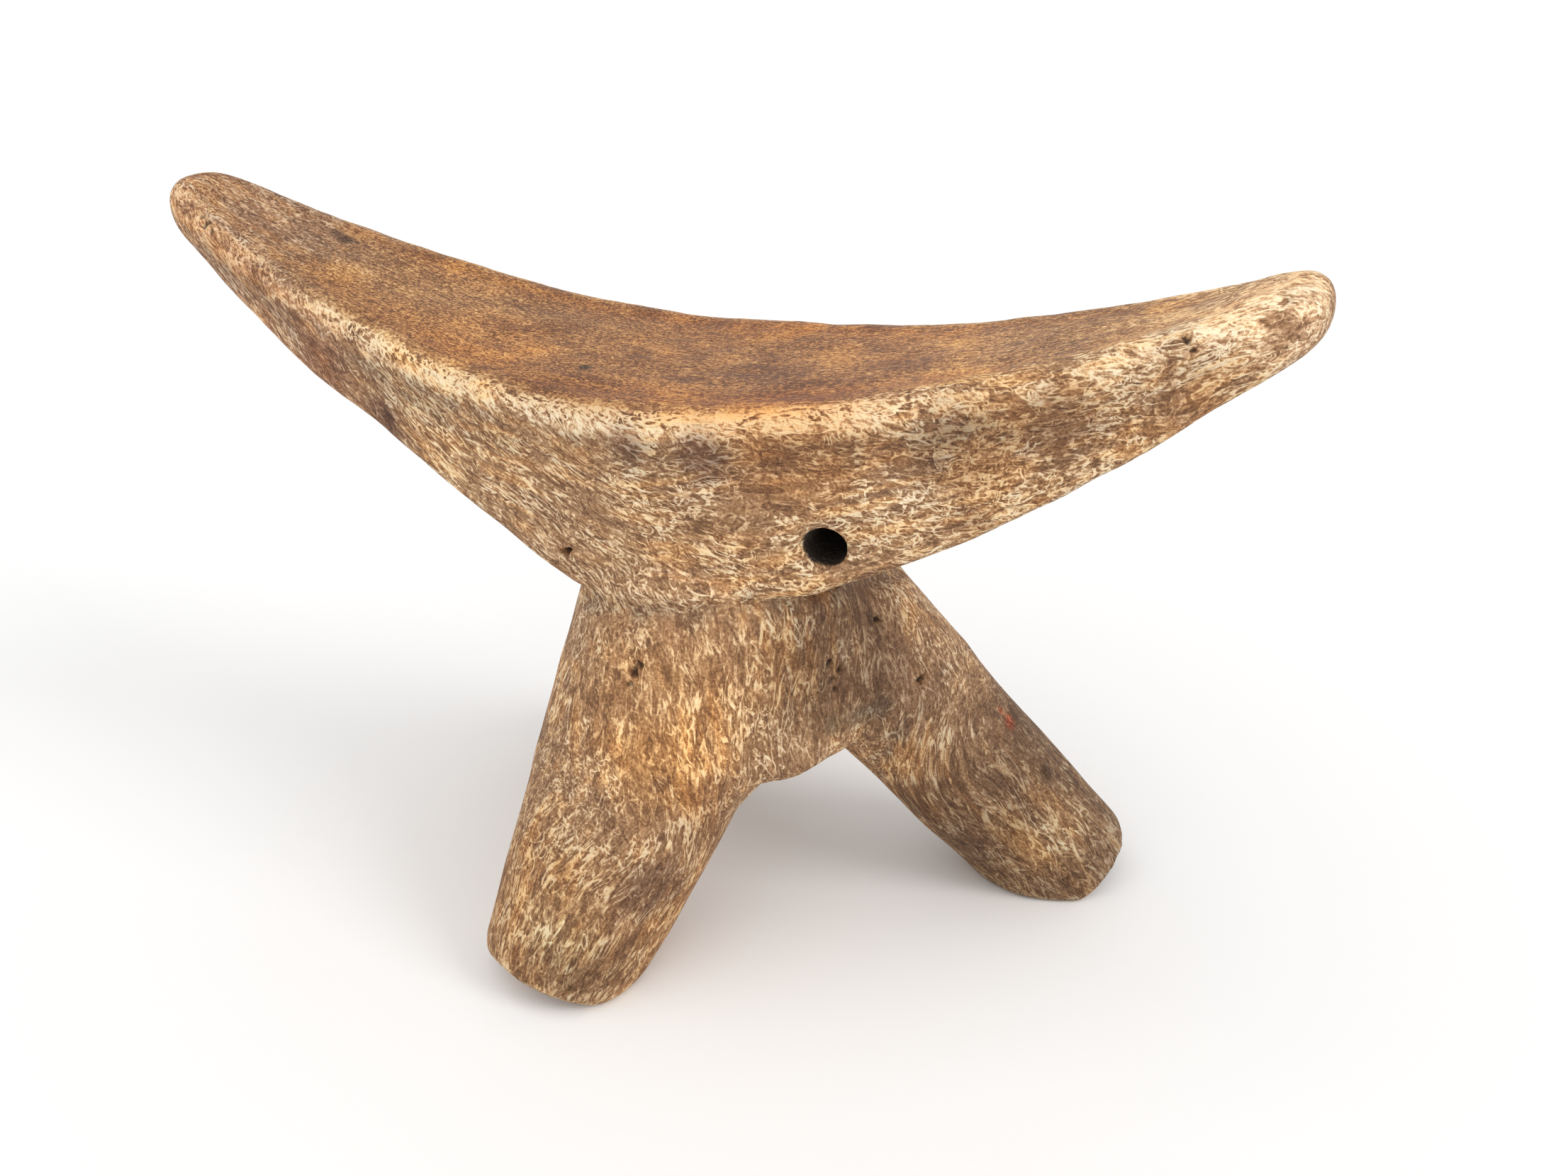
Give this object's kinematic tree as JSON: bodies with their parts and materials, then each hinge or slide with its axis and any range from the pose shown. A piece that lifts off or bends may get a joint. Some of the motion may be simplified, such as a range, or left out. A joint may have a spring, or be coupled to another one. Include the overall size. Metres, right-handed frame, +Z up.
{
  "type": "headrest stool",
  "caption": "Carved wooden headrest stool: a dished seat with raised wings on a short forked stem with splayed legs and a thong hole.",
  "frame": {"origin": "on the floor, below the middle of the object's box", "axes": "+X along the seat, towards the leg that stands out to the side; +Y away from the front leg; +Z up"},
  "size_m": [0.305, 0.1499, 0.1968],
  "materials": {
    "polished_wood": "hand-polished hardwood, worn pale along the rim",
    "worn_wood": "dry, scratched hardwood with a dull hand-worn sheen"
  },
  "bodies": {
    "root": {"headrest": "polished_wood", "stem": "worn_wood", "front_leg": "worn_wood", "right_leg": "worn_wood", "rear_leg": "worn_wood"}
  },
  "joints": []
}
